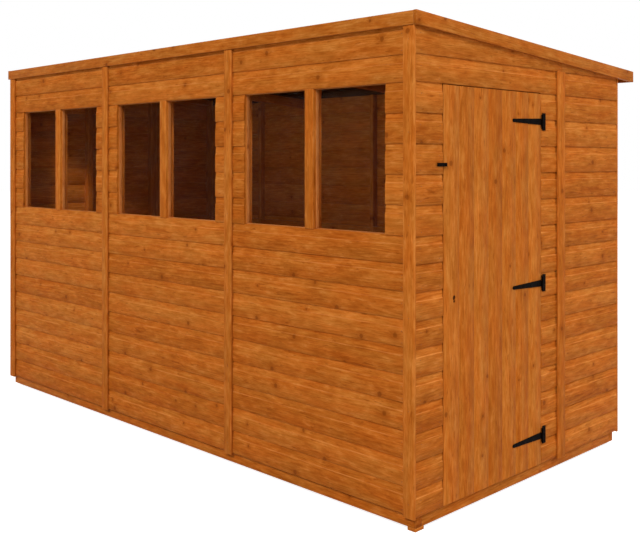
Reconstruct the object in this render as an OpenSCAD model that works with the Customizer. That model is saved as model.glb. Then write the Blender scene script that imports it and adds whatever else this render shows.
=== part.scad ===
// Pent-roofed timber summerhouse built from modular wall panels.
// The windowed high side faces -Y, the door end faces +X, the low eave is at +Y.
// The origin is under the middle of the floor, at ground level. Sizes in millimetres.

/* [Plan] */
// Width of one full wall panel
panel_w = 1182; // [1150:1:1230]
// Number of full panels along each long side
long_panels = 3; // [2:1:4]
// Share of a full panel that the narrow end panel takes
narrow_share = 0.5; // [0.45:0.01:0.6]

/* [Walls] */
// Thickness of the shiplap cladding
clad_t = 12; // [10:1:14]
// Side of the square framing timber
frame_s = 44; // [40:1:48]
// Face width of the stud in the middle of each back panel
mid_stud_w = 28; // [24:1:44]
// How far that stud stands off the middle of its panel, towards the door
mid_stud_shift = 40; // [0:1:60]
// Height of the cladding's lower edge above the ground
clad_bottom_z = 71; // [66:1:72]
// How far the cover strips hang below the cladding
strip_drop = 8; // [4:1:10]
// Thickness of the cover strips
strip_t = 12; // [10:1:18]
// Width of the strips over the joints of the long sides
joint_strip_w = 58; // [44:1:64]
// Width of the cover strip on each end
end_strip_w = 64; // [50:1:68]

/* [Windows] */
// Height of the window sill above the ground
sill_z = 1257; // [1150:1:1300]
// Height of the window heads and the door head above the ground
head_z = 1915; // [1860:1:1930]
// Width of one window light
light_w = 445; // [400:1:450]
// Width of the mullion between two lights
mullion_w = 58; // [50:1:80]
// Thickness of the glass
glass_t = 4; // [3:1:6]
// Depth of the glass behind the cladding face
glass_depth = 34; // [24:1:44]

/* [Roof] */
// Height of the roof's front edge above the ground
front_top_z = 2212; // [2195:1:2240]
// Fall of the roof towards the back, in degrees
roof_pitch = 3.7; // [2.5:0.1:4.5]
// Reach of the roof beyond the back wall
back_overhang = 162; // [100:1:220]
// Depth of the fascia and barge boards
fascia_h = 60; // [50:1:80]
// Thickness of the fascia and barge boards
fascia_t = 18; // [14:1:22]
// Thickness of the roof boarding
roof_board_t = 12; // [10:1:16]
// Thickness of the roofing felt
felt_t = 3; // [2:1:4]
// Depth of the purlins and of the rafters under them
purlin_h = 60; // [45:1:70]

/* [Floor] */
// Height of the pads under the floor joists
pad_h = 15; // [10:1:18]
// Length of the pads along the joists
pad_l = 58; // [44:1:70]
// How far the pads stand back from the floor's long edges
pad_setback = 70; // [40:1:120]
// How far the pads under the end joists stand back from the floor's ends
pad_inset = 30; // [20:1:36]
// Depth of the floor joists
joist_h = 45; // [40:1:50]
// Width of the floor joists
joist_w = 44; // [38:1:50]
// Number of cross joists
joist_count = 7; // [5:2:9]
// Thickness of the floor boards
floor_t = 12; // [10:1:18]
// How far the floor's edge stands behind the cladding face
floor_inset = 18; // [17:1:22]

/* [Door] */
// Distance from the front corner to the door opening
door_start = 186; // [150:1:210]
// Width of the door opening
door_open_w = 799; // [740:1:810]
// Gap between the door and its opening
door_gap = 5; // [5:1:8]
// Thickness of the ledges and braces behind the door boards
ledge_t = 24; // [20:1:26]
// Width of the ledges and braces
ledge_w = 94; // [70:1:110]
// Heights of the hinges and ledges above the ground
hinge_z = [212, 969, 1771];
// Angle that the door stands open
door_angle = 0; // [0:1:165]

/* [Ironmongery] */
// Length of a hinge strap from its knuckle to its tip
strap_l = 258; // [200:1:300]
// Width of a hinge strap at its knuckle
strap_root_w = 32; // [26:1:40]
// Width of a hinge strap near its tip
strap_tip_w = 16; // [12:1:24]
// Thickness of the hinge straps and plates
iron_t = 3; // [2.5:0.5:4]
// Height of a hinge plate
plate_h = 86; // [70:1:100]
// Width of a hinge plate beyond the pin
plate_w = 34; // [24:1:40]
// Height of the turn button above the ground
button_z = 1560; // [1400:1:1650]
// Length of the turn button
button_l = 66; // [60:1:80]
// Width of the turn button
button_w = 16; // [14:1:18]

/* [Hidden] */
$fn = 48;

stain = "#af5f22";
frame_wood = "#9c5421";
iron = "#221c18";

// Gap left between two neighbouring panels, hidden by the joint strip
panel_gap = 2;
wall_t = clad_t + frame_s;
length = long_panels * panel_w + 2 * wall_t;
width = panel_w * (1 + narrow_share);
half_l = length / 2;
half_w = width / 2;
inner_l = half_l - wall_t;
inner_w = half_w - wall_t;
strip_bottom_z = clad_bottom_z - strip_drop;
floor_z = pad_h + joist_h + floor_t;

// Roof: the outer plane of the felt falls from the front fascia's face to the back
slope = tan(roof_pitch);
front_y = -half_w - fascia_t;
back_y = half_w + back_overhang;
function roof_z(y) = front_top_z - slope * (y - front_y);
function deck_z(y) = roof_z(y) - felt_t - roof_board_t;
function rafter_top_z(y) = deck_z(y) - purlin_h;
fascia_bottom_z = front_top_z - fascia_h;

// Windows, one pair of lights in the middle of each front panel
window_w = 2 * light_w + mullion_w;
pier_w = (panel_w - window_w) / 2;
function panel_x(i) = -inner_l + i * panel_w;
function panel_mid_x(i) = panel_x(i) + panel_w / 2;

// Door end, measured from the front corner towards the back
function end_y(s) = -half_w + s;
door_end = door_start + door_open_w;
leaf_bottom_z = clad_bottom_z;
leaf_top_z = head_z - door_gap;
stop_w = 16;
stop_t = 18;
stop_depth = clad_t + 5;

// Hinges: the pin stands just in front of the cladding face
pin_r = 2.5;
knuckle_r = 5.5;
pin_x = half_l + knuckle_r;
pin_y = end_y(door_end) + 1;
knuckle_h = 26;
hinge_play = 0.6;

// Turn button, held by a pin near the door's free edge
button_t = 4;
button_off = 5;
button_pin_r = 2.5;
button_pin_y = end_y(door_start + door_gap) + 7;
button_tail = 7;

module board_box(lo, hi) {
    translate(lo)
        cube([hi[0] - lo[0], hi[1] - lo[1], hi[2] - lo[2]]);
}

// A slab in the YZ plane with a flat foot and a top that follows the roof
module sloped_slab(x, t, y0, y1, z0, drop = 0) {
    translate([x, 0, 0])
        rotate([90, 0, 90])
            linear_extrude(t)
                polygon([
                    [y0, z0],
                    [y1, z0],
                    [y1, deck_z(y1) - drop],
                    [y0, deck_z(y0) - drop]
                ]);
}

// A band that runs with the roof from y0 to y1, its top and foot set below the felt
module roof_band(x, l, y0, y1, top_drop, foot_drop) {
    translate([x, 0, 0])
        rotate([90, 0, 90])
            linear_extrude(l)
                polygon([
                    [y0, roof_z(y0) - foot_drop],
                    [y1, roof_z(y1) - foot_drop],
                    [y1, roof_z(y1) - top_drop],
                    [y0, roof_z(y0) - top_drop]
                ]);
}

// ---- Floor -------------------------------------------------------------

floor_l = half_l - floor_inset;
floor_w = half_w - floor_inset;
joist_step = (2 * floor_l - joist_w) / (joist_count - 1);
function joist_x(i) = -floor_l + i * joist_step;

// Three pads under each joist, set back out of sight. Only the one under the front corner
// of the door end comes out flush with the floor's edges
module foot_pads() {
    last = joist_count - 1;
    color(stain)
        for (i = [0 : last], j = [-1, 0, 1]) {
            flush = i == last && j == -1;
            inset = flush ? 0 : i == 0 ? pad_inset : i == last ? -pad_inset : 0;
            y = j * (floor_w - pad_l / 2 - (flush ? 0 : pad_setback));
            translate([joist_x(i) + inset, y - pad_l / 2, 0])
                cube([joist_w, pad_l, pad_h]);
        }
}

module floor_rim_joists() {
    color(stain)
        for (side = [-1, 1]) {
            y = side * (floor_w - joist_w / 2);
            translate([-floor_l, y - joist_w / 2, pad_h])
                cube([2 * floor_l, joist_w, joist_h]);
        }
}

module floor_cross_joists() {
    color(stain)
        for (i = [0 : joist_count - 1])
            translate([joist_x(i), -floor_w + joist_w, pad_h])
                cube([joist_w, 2 * (floor_w - joist_w), joist_h]);
}

module floor_boards() {
    color(frame_wood)
        translate([-floor_l, -floor_w, pad_h + joist_h])
            cube([2 * floor_l, 2 * floor_w, floor_t]);
}

// ---- Long sides --------------------------------------------------------

// Outer cladding of one panel width on the front, between two heights
module front_slab(x0, x1, z0, z1) {
    board_box([x0, -half_w, z0], [x1, -half_w + clad_t, z1]);
}

// The cladding at each end of a long side runs on over the end wall's frame
function clad_x0(i) = i == 0 ? -half_l + clad_t : panel_x(i) + panel_gap / 2;
function clad_x1(i) = i == long_panels - 1 ? half_l - clad_t : panel_x(i + 1) - panel_gap / 2;

module front_lower_cladding() {
    color(stain)
        for (i = [0 : long_panels - 1])
            front_slab(clad_x0(i), clad_x1(i), clad_bottom_z, sill_z);
}

module front_upper_cladding() {
    color(stain)
        for (i = [0 : long_panels - 1])
            front_slab(clad_x0(i), clad_x1(i), head_z, deck_z(-half_w + clad_t));
}

module front_pier_cladding() {
    color(stain)
        for (i = [0 : long_panels - 1]) {
            front_slab(clad_x0(i), panel_x(i) + pier_w, sill_z, head_z);
            front_slab(panel_x(i + 1) - pier_w, clad_x1(i), sill_z, head_z);
        }
}

// Left and right ends of the bay between the edge studs of long-side panel i
function bay_x0(i) = panel_x(i) + panel_gap / 2 + frame_s;
function bay_x1(i) = panel_x(i + 1) - panel_gap / 2 - frame_s;

// Studs at both edges of each panel of a long side, from the floor to the roof
module long_studs(y0, top_z) {
    for (i = [0 : long_panels - 1]) {
        board_box([bay_x0(i) - frame_s, y0, floor_z], [bay_x0(i), y0 + frame_s, top_z]);
        board_box([bay_x1(i), y0, floor_z], [bay_x1(i) + frame_s, y0 + frame_s, top_z]);
    }
}

// One rail of each panel of a long side, fitted between its edge studs
module long_rail(y0, z0) {
    for (i = [0 : long_panels - 1])
        board_box([bay_x0(i), y0, z0], [bay_x1(i), y0 + frame_s, z0 + frame_s]);
}

front_frame_y = -half_w + clad_t;
front_frame_top = deck_z(front_frame_y + frame_s);
back_frame_y = half_w - wall_t;
back_frame_top = deck_z(back_frame_y + frame_s);

// Foot of the rail in the middle of the back wall, carried round both ends
mid_rail_z = (floor_z + back_frame_top) / 2;

module front_studs() {
    color(frame_wood)
        long_studs(front_frame_y, front_frame_top);
}

module front_rails() {
    color(frame_wood) {
        long_rail(front_frame_y, floor_z);
        long_rail(front_frame_y, sill_z - frame_s);
        long_rail(front_frame_y, head_z);
        long_rail(front_frame_y, front_frame_top - frame_s);
    }
}

module window_jambs() {
    color(stain)
        for (i = [0 : long_panels - 1]) {
            left = panel_x(i) + pier_w;
            right = left + window_w;
            board_box([left - frame_s, front_frame_y, sill_z],
                      [left, front_frame_y + frame_s, head_z]);
            board_box([right, front_frame_y, sill_z],
                      [right + frame_s, front_frame_y + frame_s, head_z]);
        }
}

module window_mullions() {
    color(stain)
        for (i = [0 : long_panels - 1]) {
            x = panel_mid_x(i);
            board_box([x - mullion_w / 2, -half_w, sill_z],
                      [x + mullion_w / 2, front_frame_y + frame_s, head_z]);
        }
}

module window_glass() {
    color("#3a2a20", 0.5)
        for (i = [0 : long_panels - 1], side = [0, 1]) {
            x0 = panel_x(i) + pier_w + side * (light_w + mullion_w);
            y0 = -half_w + glass_depth;
            board_box([x0, y0, sill_z], [x0 + light_w, y0 + glass_t, head_z]);
        }
}

// Strips over the joints between the panels of a long side
module joint_strips(y0, top_z) {
    for (i = [1 : long_panels - 1])
        board_box([panel_x(i) - joint_strip_w / 2, y0, strip_bottom_z],
                  [panel_x(i) + joint_strip_w / 2, y0 + strip_t, top_z]);
}

// Strips at both corners of a long side, wide enough to cover the end wall's edge
corner_strip_w = wall_t + 6;

module corner_strips(y0, top_z) {
    for (x0 = [-half_l, half_l - corner_strip_w])
        board_box([x0, y0, strip_bottom_z], [x0 + corner_strip_w, y0 + strip_t, top_z]);
}

module front_joint_strips() {
    color(stain)
        joint_strips(-half_w - strip_t, fascia_bottom_z);
}

module front_corner_strips() {
    color(stain)
        corner_strips(-half_w - strip_t, fascia_bottom_z);
}

module back_cladding() {
    color(stain)
        for (i = [0 : long_panels - 1])
            board_box([clad_x0(i), half_w - clad_t, clad_bottom_z],
                      [clad_x1(i), half_w, deck_z(half_w)]);
}

// Left side of the middle stud of back panel i
function mid_stud_x(i) = panel_mid_x(i) + mid_stud_shift - mid_stud_w / 2;

// The middle studs stop under the top rail
module back_studs() {
    color(frame_wood) {
        long_studs(back_frame_y, back_frame_top);
        for (i = [0 : long_panels - 1])
            board_box([mid_stud_x(i), back_frame_y, floor_z],
                      [mid_stud_x(i) + mid_stud_w, back_frame_y + frame_s,
                       back_frame_top - frame_s]);
    }
}

// One rail of each back panel, cut in two by the middle stud
module cut_back_rail(z0) {
    y1 = back_frame_y + frame_s;
    for (i = [0 : long_panels - 1]) {
        board_box([bay_x0(i), back_frame_y, z0], [mid_stud_x(i), y1, z0 + frame_s]);
        board_box([mid_stud_x(i) + mid_stud_w, back_frame_y, z0],
                  [bay_x1(i), y1, z0 + frame_s]);
    }
}

module back_rails() {
    color(frame_wood) {
        cut_back_rail(floor_z);
        cut_back_rail(mid_rail_z);
        long_rail(back_frame_y, back_frame_top - frame_s);
    }
}

back_strip_top = deck_z(half_w + strip_t);

module back_joint_strips() {
    color(stain)
        joint_strips(half_w, back_strip_top);
}

module back_corner_strips() {
    color(stain)
        corner_strips(half_w, back_strip_top);
}

// ---- Ends --------------------------------------------------------------

// The joint between the full panel and the narrow panel of an end
end_joint = panel_w;
end_joint_y = end_y(end_joint);
end_strip_top_z = fascia_bottom_z - 120;
end_strip_y0 = end_joint_y - end_strip_w + 12;

module end_cladding(x, y0, y1, z0) {
    sloped_slab(x, clad_t, y0, y1, z0);
}

// A stud of an end wall, its foot on the floor and its head under the roof
module end_stud(x, y0) {
    sloped_slab(x, frame_s, y0, y0 + frame_s, floor_z);
}

module end_rail(x, y0, y1, z0) {
    board_box([x, y0, z0], [x + frame_s, y1, z0 + frame_s]);
}

// The sloped top rail of an end wall, fitted between two studs
module end_top_rail(x, y0, y1) {
    drop = felt_t + roof_board_t;
    roof_band(x, frame_s, y0, y1, drop, drop + frame_s);
}

full_stud_y = [end_y(0) + clad_t, end_joint_y - panel_gap / 2 - frame_s];
narrow_stud_y = [end_joint_y + panel_gap / 2, half_w - clad_t - frame_s];

left_frame_x = -half_l + clad_t;
right_frame_x = half_l - wall_t;

module left_end_cladding() {
    color(stain) {
        end_cladding(-half_l, -half_w, end_joint_y - panel_gap / 2, clad_bottom_z);
        end_cladding(-half_l, end_joint_y + panel_gap / 2, half_w, clad_bottom_z);
    }
}

// A full-width frame also has a stud in its middle
left_mid_stud_y = (full_stud_y[0] + full_stud_y[1]) / 2;

module left_end_studs() {
    color(frame_wood)
        for (y = concat(full_stud_y, narrow_stud_y, [left_mid_stud_y]))
            end_stud(left_frame_x, y);
}

module left_end_rails() {
    color(frame_wood)
        for (bay = [[full_stud_y[0], left_mid_stud_y], [left_mid_stud_y, full_stud_y[1]], narrow_stud_y]) {
            y0 = bay[0] + frame_s;
            y1 = bay[1];
            end_rail(left_frame_x, y0, y1, floor_z);
            end_rail(left_frame_x, y0, y1, mid_rail_z);
            end_top_rail(left_frame_x, y0, y1);
        }
}

module left_end_strip() {
    color(stain)
        board_box([-half_l - strip_t, end_strip_y0, strip_bottom_z],
                  [-half_l, end_strip_y0 + end_strip_w, end_strip_top_z]);
}

module door_side_cladding() {
    color(stain) {
        board_box([half_l - clad_t, -half_w, clad_bottom_z],
                  [half_l, end_y(door_start), head_z]);
        board_box([half_l - clad_t, end_y(door_end), clad_bottom_z],
                  [half_l, end_joint_y - panel_gap / 2, head_z]);
    }
}

module over_door_cladding() {
    color(stain)
        end_cladding(half_l - clad_t, -half_w, end_joint_y - panel_gap / 2, head_z);
}

module end_panel_cladding() {
    color(stain)
        end_cladding(half_l - clad_t, end_joint_y + panel_gap / 2, half_w, clad_bottom_z);
}

door_stud_y = [end_y(door_start) - frame_s, end_y(door_end)];

module right_end_studs() {
    color(frame_wood) {
        for (y = concat(full_stud_y, narrow_stud_y))
            end_stud(right_frame_x, y);
        for (y = door_stud_y)
            board_box([right_frame_x, y, floor_z],
                      [right_frame_x + frame_s, y + frame_s, head_z]);
    }
}

module right_end_rails() {
    color(frame_wood) {
        end_rail(right_frame_x, full_stud_y[0] + frame_s, full_stud_y[1], head_z);
        end_top_rail(right_frame_x, full_stud_y[0] + frame_s, full_stud_y[1]);
        for (z = [floor_z, mid_rail_z]) {
            end_rail(right_frame_x, full_stud_y[0] + frame_s, door_stud_y[0], z);
            end_rail(right_frame_x, door_stud_y[1] + frame_s, full_stud_y[1], z);
            end_rail(right_frame_x, narrow_stud_y[0] + frame_s, narrow_stud_y[1], z);
        }
        end_top_rail(right_frame_x, narrow_stud_y[0] + frame_s, narrow_stud_y[1]);
    }
}

module right_end_strip() {
    color(stain)
        board_box([half_l, end_strip_y0, strip_bottom_z],
                  [half_l + strip_t, end_strip_y0 + end_strip_w, end_strip_top_z]);
}

// Stops planted inside the doorway, a little behind the closed door
module door_stops() {
    x1 = half_l - stop_depth;
    x0 = x1 - stop_t;
    y0 = end_y(door_start);
    y1 = end_y(door_end);
    color(frame_wood) {
        board_box([x0, y0, floor_z], [x1, y0 + stop_w, head_z]);
        board_box([x0, y1 - stop_w, floor_z], [x1, y1, head_z]);
        board_box([x0, y0 + stop_w + 1, head_z - stop_w], [x1, y1 - stop_w - 1, head_z]);
    }
}

// ---- Roof --------------------------------------------------------------

purlin_w = frame_s;
purlin_count = 2;
purlin_y = [for (i = [1 : purlin_count]) -inner_w + i * 2 * inner_w / (purlin_count + 1)];
deck_drop = felt_t + roof_board_t;

module purlins() {
    color(frame_wood)
        for (y = purlin_y)
            roof_band(-inner_l, 2 * inner_l, y - purlin_w / 2, y + purlin_w / 2,
                      deck_drop, deck_drop + purlin_h);
}

module rafters() {
    drop = deck_drop + purlin_h;
    color(frame_wood)
        for (i = [1 : long_panels - 1])
            roof_band(panel_x(i) - frame_s / 2, frame_s, -inner_w, inner_w,
                      drop, drop + purlin_h);
}

module roof_boards() {
    color(frame_wood)
        roof_band(-half_l, length, -half_w, back_y - fascia_t, felt_t, deck_drop);
}

module roof_felt() {
    color("#4a4a48")
        roof_band(-half_l, length, -half_w, back_y - fascia_t, 0, felt_t);
}

module front_fascia() {
    color(stain)
        board_box([-half_l, front_y, fascia_bottom_z], [half_l, -half_w, roof_z(-half_w)]);
}

module back_fascia() {
    top = roof_z(back_y);
    color(stain)
        board_box([-half_l - fascia_t, back_y - fascia_t, top - fascia_h],
                  [half_l + fascia_t, back_y, top]);
}

module barge_board(x) {
    color(stain)
        roof_band(x, fascia_t, front_y, back_y - fascia_t, 0, fascia_h);
}

module left_barge_board() {
    barge_board(-half_l - fascia_t);
}

module right_barge_board() {
    barge_board(half_l);
}

// ---- Door --------------------------------------------------------------

// Turns what rides on the door about the hinge pins
module on_door() {
    translate([pin_x, pin_y, 0])
        rotate([0, 0, door_angle])
            translate([-pin_x, -pin_y, 0])
                children();
}

leaf_y0 = end_y(door_start + door_gap);
leaf_y1 = end_y(door_end - door_gap);
leaf_inner_x = half_l - clad_t;

module door_boards() {
    color(stain)
        on_door()
            board_box([leaf_inner_x, leaf_y0, leaf_bottom_z], [half_l, leaf_y1, leaf_top_z]);
}

ledge_margin = stop_w + 6;
ledge_y0 = leaf_y0 + ledge_margin;
ledge_y1 = leaf_y1 - ledge_margin;

module door_ledges() {
    color(frame_wood)
        on_door()
            for (z = hinge_z)
                board_box([leaf_inner_x - ledge_t, ledge_y0, z - ledge_w / 2],
                          [leaf_inner_x, ledge_y1, z + ledge_w / 2]);
}

// Braces rise from the hinge side of a ledge to the free side of the one above
module door_braces() {
    brace_span = 1.25 * ledge_w;
    color(frame_wood)
        on_door()
            translate([leaf_inner_x - ledge_t, 0, 0])
                rotate([90, 0, 90])
                    for (i = [0 : len(hinge_z) - 2]) {
                        z0 = hinge_z[i] + ledge_w / 2;
                        z1 = hinge_z[i + 1] - ledge_w / 2;
                        linear_extrude(ledge_t)
                            polygon([
                                [ledge_y1 - brace_span, z0],
                                [ledge_y1, z0],
                                [ledge_y0 + brace_span, z1],
                                [ledge_y0, z1]
                            ]);
                    }
}

// Outline of a strap: it tapers from the knuckle to a rounded tip
module strap_outline() {
    tip_r = strap_tip_w / 2;
    root = knuckle_r + 2;
    polygon([
        [-root, -strap_root_w / 2],
        [-root, strap_root_w / 2],
        [-strap_l + tip_r, tip_r],
        [-strap_l + tip_r, -tip_r]
    ]);
    translate([-strap_l + tip_r, 0])
        circle(tip_r);
}

// One strap with the knuckle that turns on the pin
module hinge_strap(z) {
    translate([half_l, pin_y, z])
        rotate([90, 0, 90])
            linear_extrude(iron_t)
                strap_outline();
    translate([pin_x, pin_y, z - knuckle_h / 2 + hinge_play])
        difference() {
            union() {
                cylinder(r = knuckle_r, h = knuckle_h - 2 * hinge_play);
                translate([-knuckle_r, -knuckle_r - 3, 0])
                    cube([iron_t, knuckle_r + 3, knuckle_h - 2 * hinge_play]);
            }
            translate([0, 0, -1])
                cylinder(r = pin_r + 0.5, h = knuckle_h + 2);
        }
}

module hinge_straps() {
    color(iron)
        on_door()
            for (z = hinge_z)
                hinge_strap(z);
}

// The plate beside the door, with a knuckle above and below the strap and the pin
module hinge_plate(z) {
    end_h = (plate_h - knuckle_h) / 2 - 8;
    translate([half_l, pin_y + knuckle_r + 1, z - plate_h / 2])
        cube([iron_t, plate_w - knuckle_r - 1, plate_h]);
    for (z0 = [z - knuckle_h / 2 - end_h, z + knuckle_h / 2]) {
        translate([pin_x, pin_y, z0])
            cylinder(r = knuckle_r, h = end_h);
        translate([half_l, pin_y, z0])
            cube([iron_t, knuckle_r + 2, end_h]);
    }
    translate([pin_x, pin_y, z - knuckle_h / 2 - 1])
        cylinder(r = pin_r, h = knuckle_h + 2);
}

module hinge_plates() {
    color(iron)
        for (z = hinge_z)
            hinge_plate(z);
}

// ---- Turn button -------------------------------------------------------

// The bar reaches over the frame from its pin on the door
module turn_button() {
    y1 = button_pin_y + button_tail;
    y0 = y1 - button_l;
    color(iron)
        on_door()
            translate([half_l + button_off, 0, button_z])
                difference() {
                    board_box([0, y0, -button_w / 2], [button_t, y1, button_w / 2]);
                    translate([-1, button_pin_y, 0])
                        rotate([0, 90, 0])
                            cylinder(r = button_pin_r + 0.4, h = button_t + 2);
                }
}

// The pin and its heads, fixed to the door
module button_pivot() {
    color(iron)
        on_door()
            translate([half_l, button_pin_y, button_z])
                rotate([0, 90, 0]) {
                    cylinder(r = 5, h = button_off - 0.5);
                    cylinder(r = button_pin_r, h = button_off + button_t + 0.5);
                    translate([0, 0, button_off + button_t + 0.5])
                        cylinder(r = 4.5, h = 2);
                }
}

foot_pads();
floor_rim_joists();
floor_cross_joists();
floor_boards();
front_lower_cladding();
front_upper_cladding();
front_pier_cladding();
front_studs();
front_rails();
window_jambs();
window_mullions();
window_glass();
front_joint_strips();
front_corner_strips();
back_cladding();
back_studs();
back_rails();
back_joint_strips();
back_corner_strips();
left_end_cladding();
left_end_studs();
left_end_rails();
left_end_strip();
door_side_cladding();
over_door_cladding();
end_panel_cladding();
right_end_studs();
right_end_rails();
right_end_strip();
door_stops();
purlins();
rafters();
roof_boards();
roof_felt();
front_fascia();
back_fascia();
left_barge_board();
right_barge_board();
door_boards();
door_ledges();
door_braces();
hinge_straps();
hinge_plates();
turn_button();
button_pivot();
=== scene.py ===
"""The looks of a pent-roofed timber summerhouse: stained shiplap, boarding, felt, glass and ironwork.

Everything is in metres. The windowed side faces -Y, the door end faces +X and the low eave is at +Y.
"""

import math
import random

import bmesh
import bpy
import numpy as np
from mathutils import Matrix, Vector, noise


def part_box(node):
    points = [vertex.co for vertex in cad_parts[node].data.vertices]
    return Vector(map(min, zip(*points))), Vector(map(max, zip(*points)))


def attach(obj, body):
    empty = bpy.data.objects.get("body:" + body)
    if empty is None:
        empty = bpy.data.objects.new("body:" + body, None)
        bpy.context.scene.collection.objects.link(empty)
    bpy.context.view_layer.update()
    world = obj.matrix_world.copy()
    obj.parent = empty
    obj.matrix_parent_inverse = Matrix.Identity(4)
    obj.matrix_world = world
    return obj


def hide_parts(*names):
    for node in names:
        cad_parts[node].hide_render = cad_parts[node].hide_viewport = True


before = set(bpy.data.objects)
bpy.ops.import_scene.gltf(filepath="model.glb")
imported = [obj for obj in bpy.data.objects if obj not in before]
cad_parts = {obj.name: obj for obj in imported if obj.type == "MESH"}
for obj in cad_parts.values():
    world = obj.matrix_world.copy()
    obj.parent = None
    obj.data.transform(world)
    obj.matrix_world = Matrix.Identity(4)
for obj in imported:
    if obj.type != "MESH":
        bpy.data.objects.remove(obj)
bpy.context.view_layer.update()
rng = random.Random(1182)

MM = 0.001
CLOSE = 0.1 * MM
X = Vector((1, 0, 0))
Y = Vector((0, 1, 0))
Z = Vector((0, 0, 1))


# ---- Places taken from the frame ---------------------------------------

def low(node_name):
    """The lowest corner of a node's box."""
    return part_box(node_name)[0]


def high(node_name):
    """The highest corner of a node's box."""
    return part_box(node_name)[1]


def heights_at(node_name, y):
    """Lowest and highest point of a node at one y."""
    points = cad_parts[node_name].data.vertices
    heights = [p.co.z for p in points if abs(p.co.y - y) < CLOSE]
    return min(heights), max(heights)


clad_bottom = low("front_lower_cladding").z
sill_z = high("front_lower_cladding").z
head_z = high("front_pier_cladding").z

deck_y0 = low("roof_boards").y
deck_y1 = high("roof_boards").y
deck_z0 = heights_at("roof_boards", deck_y0)[0]
deck_z1 = heights_at("roof_boards", deck_y1)[0]
roof_foot = Vector((0, deck_y0, deck_z0))
roof_fall = Vector((0, deck_y1 - deck_y0, deck_z1 - deck_z0)).normalized()
roof_up = X.cross(roof_fall)
roof_slope = roof_fall.z / roof_fall.y

felt_y0 = low("roof_felt").y
felt_z0 = heights_at("roof_felt", felt_y0)[0]


def felt_foot(y):
    """Height of the felt's underside at one y."""
    return felt_z0 + roof_slope * (y - felt_y0)


# ---- Timber meshes -----------------------------------------------------

# Points nearer than this are one point, and faces that turn less than this are one face
WELD = 0.01 * MM
FLAT = math.radians(1)
# Edges that turn more than this stay sharp
SMOOTH_BELOW = math.radians(50)
# An arris is fully pale, from worn stain and a painted highlight, where the cosine of its turn from a
# timber's side is this far under 1
WEAR_AND_HIGHLIGHT_TURN = 0.06
# A face is end grain where the cosine of its turn from the grain is over this
END_GRAIN_TURN = 0.9
# Where in the tree a timber was cut: ranges along it, across it and out of its face
CUT_FROM = ((0, 9), (-0.05, 0.05), (0.02, 0.08))


class Timbers:
    """Timbers gathered into one mesh, each with a grain and a tone of its own."""

    def __init__(self):
        self.points = []
        self.faces = []
        self.grain = []
        self.tone = []
        self.end = []
        self.paleness = []

    def add(self, bm, along, across):
        """Takes a closed solid whose grain runs along one axis, and frees it."""
        out = along.cross(across)
        shift = Vector([rng.uniform(*span) for span in CUT_FROM])
        tone = rng.random()
        bm.normal_update()
        bm.verts.index_update()
        centre = sum((v.co for v in bm.verts), Vector()) / max(1, len(bm.verts))
        first = len(self.points)
        for vert in bm.verts:
            place = vert.co - centre
            local = Vector((place.dot(along), place.dot(across), place.dot(out)))
            self.points.append(vert.co.copy())
            self.grain.append(local + shift)
            self.tone.append(tone)
        for face in bm.faces:
            self.faces.append([first + v.index for v in face.verts])
            turns = [abs(face.normal.dot(axis)) for axis in (along, across, out)]
            self.end.append(1.0 if turns[0] > END_GRAIN_TURN else 0.0)
            # Arrises and coves get a pale share: worn stain, and a painted highlight
            self.paleness.append(min(1.0, (1.0 - max(turns)) / WEAR_AND_HIGHLIGHT_TURN))
        bm.free()

    def make(self, name, body, slot, material, *nodes):
        """Makes one piece of all the timbers, which stands for the nodes that are named."""
        mesh = bpy.data.meshes.new(name)
        mesh.from_pydata(self.points, [], self.faces)
        grain = mesh.attributes.new("grain", "FLOAT_VECTOR", "POINT")
        grain.data.foreach_set("vector", np.array(self.grain, np.float32).ravel())
        mesh.attributes.new("tone", "FLOAT", "POINT").data.foreach_set("value", self.tone)
        mesh.attributes.new("end_grain", "FLOAT", "FACE").data.foreach_set("value", self.end)
        mesh.attributes.new("paleness", "FLOAT", "FACE").data.foreach_set("value", self.paleness)
        return finish_piece(name, mesh, body, slot, material, *nodes)


def finish_piece(name, mesh, body, slot, material, *nodes):
    """Shades a mesh, puts it in the scene as a piece and hides the CAD nodes it stands for."""
    mesh.polygons.foreach_set("use_smooth", [True] * len(mesh.polygons))
    mesh.set_sharp_from_angle(angle=SMOOTH_BELOW)
    mesh.materials.append(material)
    piece = bpy.data.objects.new(name, mesh)
    bpy.context.scene.collection.objects.link(piece)
    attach(piece, body)
    if nodes:
        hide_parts(*nodes)
    return piece


def around(count):
    """The steps round a closed ring, as (this, next)."""
    return [(i, (i + 1) % count) for i in range(count)]


def prism(outline, start, along, across, out, length):
    """A closed solid: an outline of (across, out) distances drawn out along one axis."""
    bm = bmesh.new()
    near = [bm.verts.new(start + across * u + out * w) for u, w in outline]
    far = [bm.verts.new(vert.co + along * length) for vert in near]
    for i, j in around(len(outline)):
        bm.faces.new((near[i], near[j], far[j], far[i]))
    bm.faces.new(near[::-1])
    bm.faces.new(far)
    bmesh.ops.recalc_face_normals(bm, faces=bm.faces[:])
    return bm


def cut_above(bm, point, normal):
    """Cuts away what lies beyond a plane and closes the cut."""
    everything = bm.verts[:] + bm.edges[:] + bm.faces[:]
    bmesh.ops.bisect_plane(bm, geom=everything, dist=WELD, plane_co=point, plane_no=normal,
                           clear_outer=True)
    bmesh.ops.holes_fill(bm, edges=bm.edges[:], sides=0)
    bmesh.ops.recalc_face_normals(bm, faces=bm.faces[:])


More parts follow.
